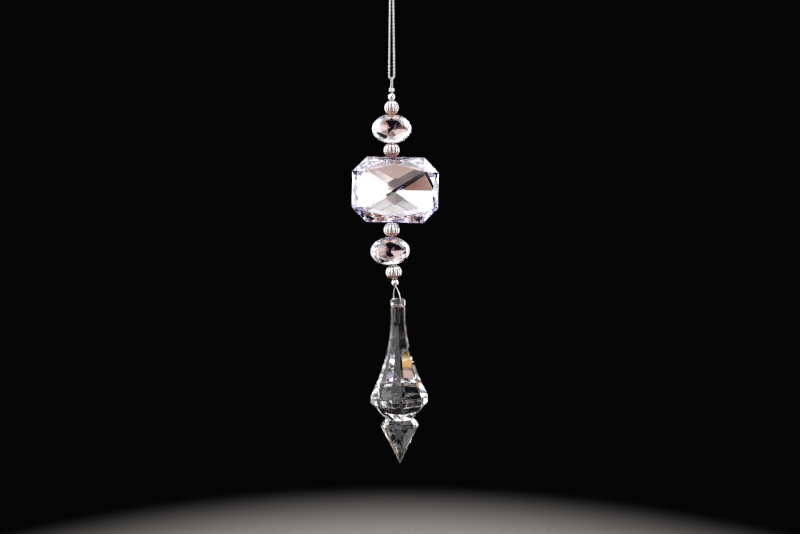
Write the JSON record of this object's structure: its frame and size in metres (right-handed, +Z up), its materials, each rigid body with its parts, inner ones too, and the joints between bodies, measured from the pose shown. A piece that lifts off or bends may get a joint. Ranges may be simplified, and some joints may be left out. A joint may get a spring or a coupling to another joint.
{
  "type": "icicle hanging ornament",
  "caption": "Hanging ornament: clear faceted gems and silver melon beads threaded on a wire, with a long clear icicle drop below and a soft cord loop above to hang it by.",
  "frame": {"origin": "inside of the top of the cord loop, where it bears on a hook", "axes": "+Z up along the hanging line, broad faces of the gems towards -Y and +Y, a hook runs along Y through the cord loop"},
  "size_m": [0.0398, 0.0262, 0.2522],
  "materials": {
    "cord": "twisted metallic silver cord",
    "wire": "bright silver-plated wire",
    "crimp": "silver-plated, crushed",
    "round_bead": "smooth silver plate",
    "melon_bead": "silver plate with fluted sides",
    "oval_gem": "clear polished acrylic, with a thin reflecting coat on the back facets as a guess",
    "octagon_gem": "clear polished acrylic, with a thin reflecting coat on the back facets as a guess",
    "drop": "clear polished acrylic"
  },
  "bodies": {
    "hanger": {"hanging_loop": "cord"},
    "knot": {"cord_knot": "cord"},
    "strands": {"cord_strands": "cord"},
    "stem": {"stem_wire": "wire", "crimp_bead": "crimp"},
    "small_bead_top": {"small_bead_top": "round_bead"},
    "melon_bead_top": {"melon_bead_top": "melon_bead"},
    "oval_gem_upper": {"oval_gem_upper": "oval_gem"},
    "melon_bead_upper": {"melon_bead_upper": "melon_bead"},
    "octagon_gem": {"octagon_gem": "octagon_gem"},
    "melon_bead_middle": {"melon_bead_middle": "melon_bead"},
    "oval_gem_lower": {"oval_gem_lower": "oval_gem"},
    "melon_bead_lower": {"melon_bead_lower": "melon_bead"},
    "small_bead_bottom": {"small_bead_bottom": "round_bead"},
    "drop": {"icicle_drop": "drop"}
  },
  "joints": [
    {"name": "cord_swing", "type": "hinge", "parent": "hanger", "child": "knot", "pos_m": [0, 0, -0.0241], "axis": [0, 1, 0], "range_deg": [-90, 90]},
    {"name": "cord_twist", "type": "hinge", "parent": "knot", "child": "strands", "pos_m": [0, 0, -0.0241], "axis": [0, 0, 1], "range_deg": [-180, 180]},
    {"name": "stem_swing", "type": "hinge", "parent": "strands", "child": "stem", "pos_m": [0, 0, -0.07468], "axis": [1, 0, 0], "range_deg": [-90, 90]},
    {"name": "small_top_spin", "type": "hinge", "parent": "stem", "child": "small_bead_top", "pos_m": [0, 0, -0.08294], "axis": [0, 0, 1], "continuous": true},
    {"name": "melon_top_spin", "type": "hinge", "parent": "stem", "child": "melon_bead_top", "pos_m": [0, 0, -0.0878], "axis": [0, 0, 1], "continuous": true},
    {"name": "oval_upper_spin", "type": "hinge", "parent": "stem", "child": "oval_gem_upper", "pos_m": [0, 0, -0.09746], "axis": [0, 0, 1], "continuous": true},
    {"name": "melon_upper_spin", "type": "hinge", "parent": "stem", "child": "melon_bead_upper", "pos_m": [0, 0, -0.10712], "axis": [0, 0, 1], "continuous": true},
    {"name": "octagon_spin", "type": "hinge", "parent": "stem", "child": "octagon_gem", "pos_m": [0, 0, -0.1253], "axis": [0, 0, 1], "continuous": true},
    {"name": "melon_middle_spin", "type": "hinge", "parent": "stem", "child": "melon_bead_middle", "pos_m": [0, 0, -0.14349], "axis": [0, 0, 1], "continuous": true},
    {"name": "oval_lower_spin", "type": "hinge", "parent": "stem", "child": "oval_gem_lower", "pos_m": [0.00029, 0, -0.15322], "axis": [-0.0454, 0, 0.999], "continuous": true},
    {"name": "melon_lower_spin", "type": "hinge", "parent": "stem", "child": "melon_bead_lower", "pos_m": [0.00097, 0, -0.16293], "axis": [-0.1219, 0, 0.9925], "continuous": true},
    {"name": "small_bottom_spin", "type": "hinge", "parent": "stem", "child": "small_bead_bottom", "pos_m": [0.00157, 0, -0.16775], "axis": [-0.1219, 0, 0.9925], "continuous": true},
    {"name": "drop_swing", "type": "hinge", "parent": "stem", "child": "drop", "pos_m": [0.00272, 0, -0.17712], "axis": [-0.3746, 0.9272, 0], "range_deg": [-90, 90]}
  ]
}
